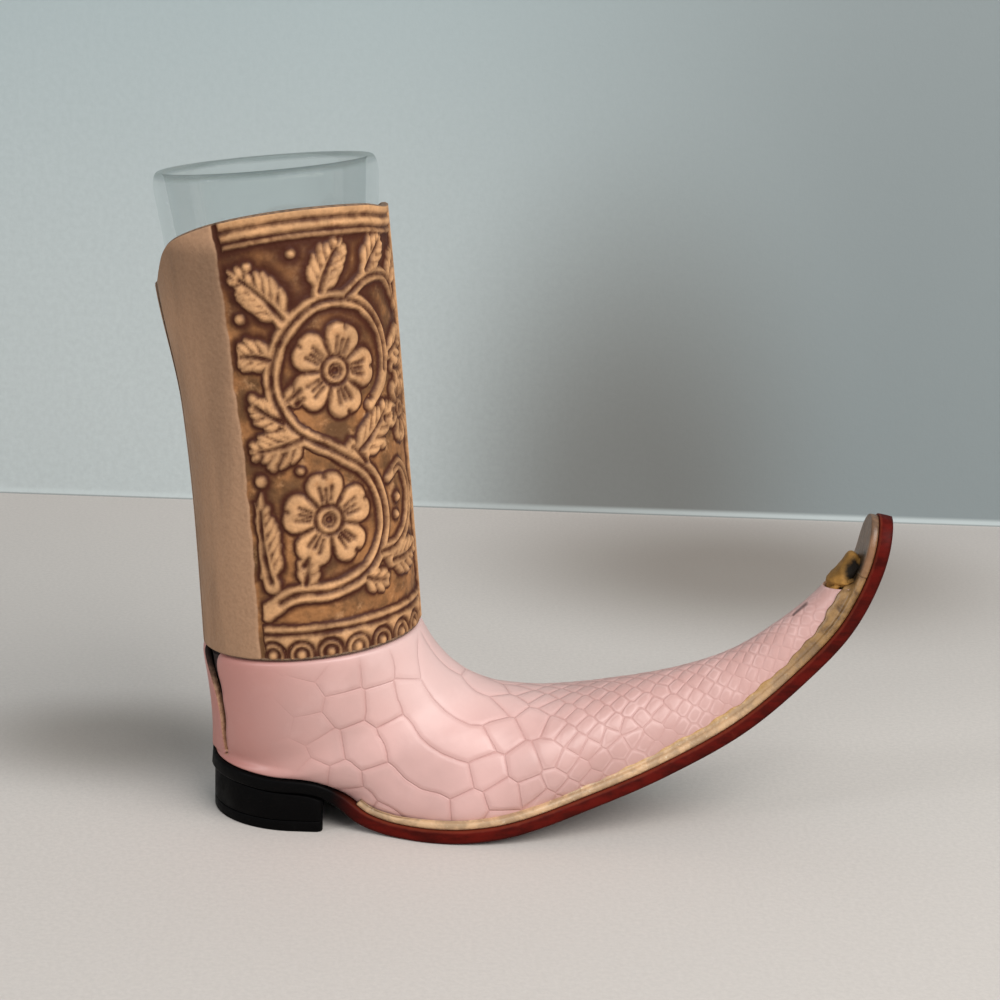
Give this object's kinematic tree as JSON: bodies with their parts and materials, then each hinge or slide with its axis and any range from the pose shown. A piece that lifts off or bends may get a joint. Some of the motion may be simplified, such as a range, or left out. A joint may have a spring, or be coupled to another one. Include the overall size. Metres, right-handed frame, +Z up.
{
  "type": "boot shot glass",
  "caption": "Tapered shot glass held in a small leather boot with a tooled shaft sleeve, scaled upper and a long curled toe",
  "frame": {"origin": "centre of the bounding box's bottom face, on the surface the boot stands on", "axes": "+X from heel to toe, +Z up, -Y the side with the back seam"},
  "size_m": [0.1602, 0.0493, 0.1446],
  "materials": {
    "clear_glass": "clear polished glass",
    "tooled_leather": "natural leather, stamped and browned in its hollows",
    "scaled_leather": "pink scaled leather, satin",
    "raw_leather": "raw brown leather strip",
    "filler": "light raw filler, ochre",
    "insole_fibre": "pressed fibre board",
    "welt_leather": "light natural leather strip",
    "sole_leather": "sole leather with a burgundy stained edge",
    "black_heel": "black, satin",
    "nail_steel": "plain steel"
  },
  "bodies": {
    "boot": {"shaft_sleeve": "tooled_leather", "foot_upper": "scaled_leather", "seam_backing": "raw_leather", "foot_core": "filler", "insole_board": "insole_fibre", "welt": "welt_leather", "outsole": "sole_leather", "heel_block": "black_heel", "heel_cap": "black_heel", "heel_nail_1": "nail_steel", "heel_nail_2": "nail_steel", "heel_nail_3": "nail_steel"},
    "glass": {"shot_glass": "clear_glass"}
  },
  "joints": [
    {"name": "glass_lift", "type": "slide", "parent": "boot", "child": "glass", "axis": [-0.1106, 0, 0.9939], "range_m": [0, 0.1]}
  ]
}
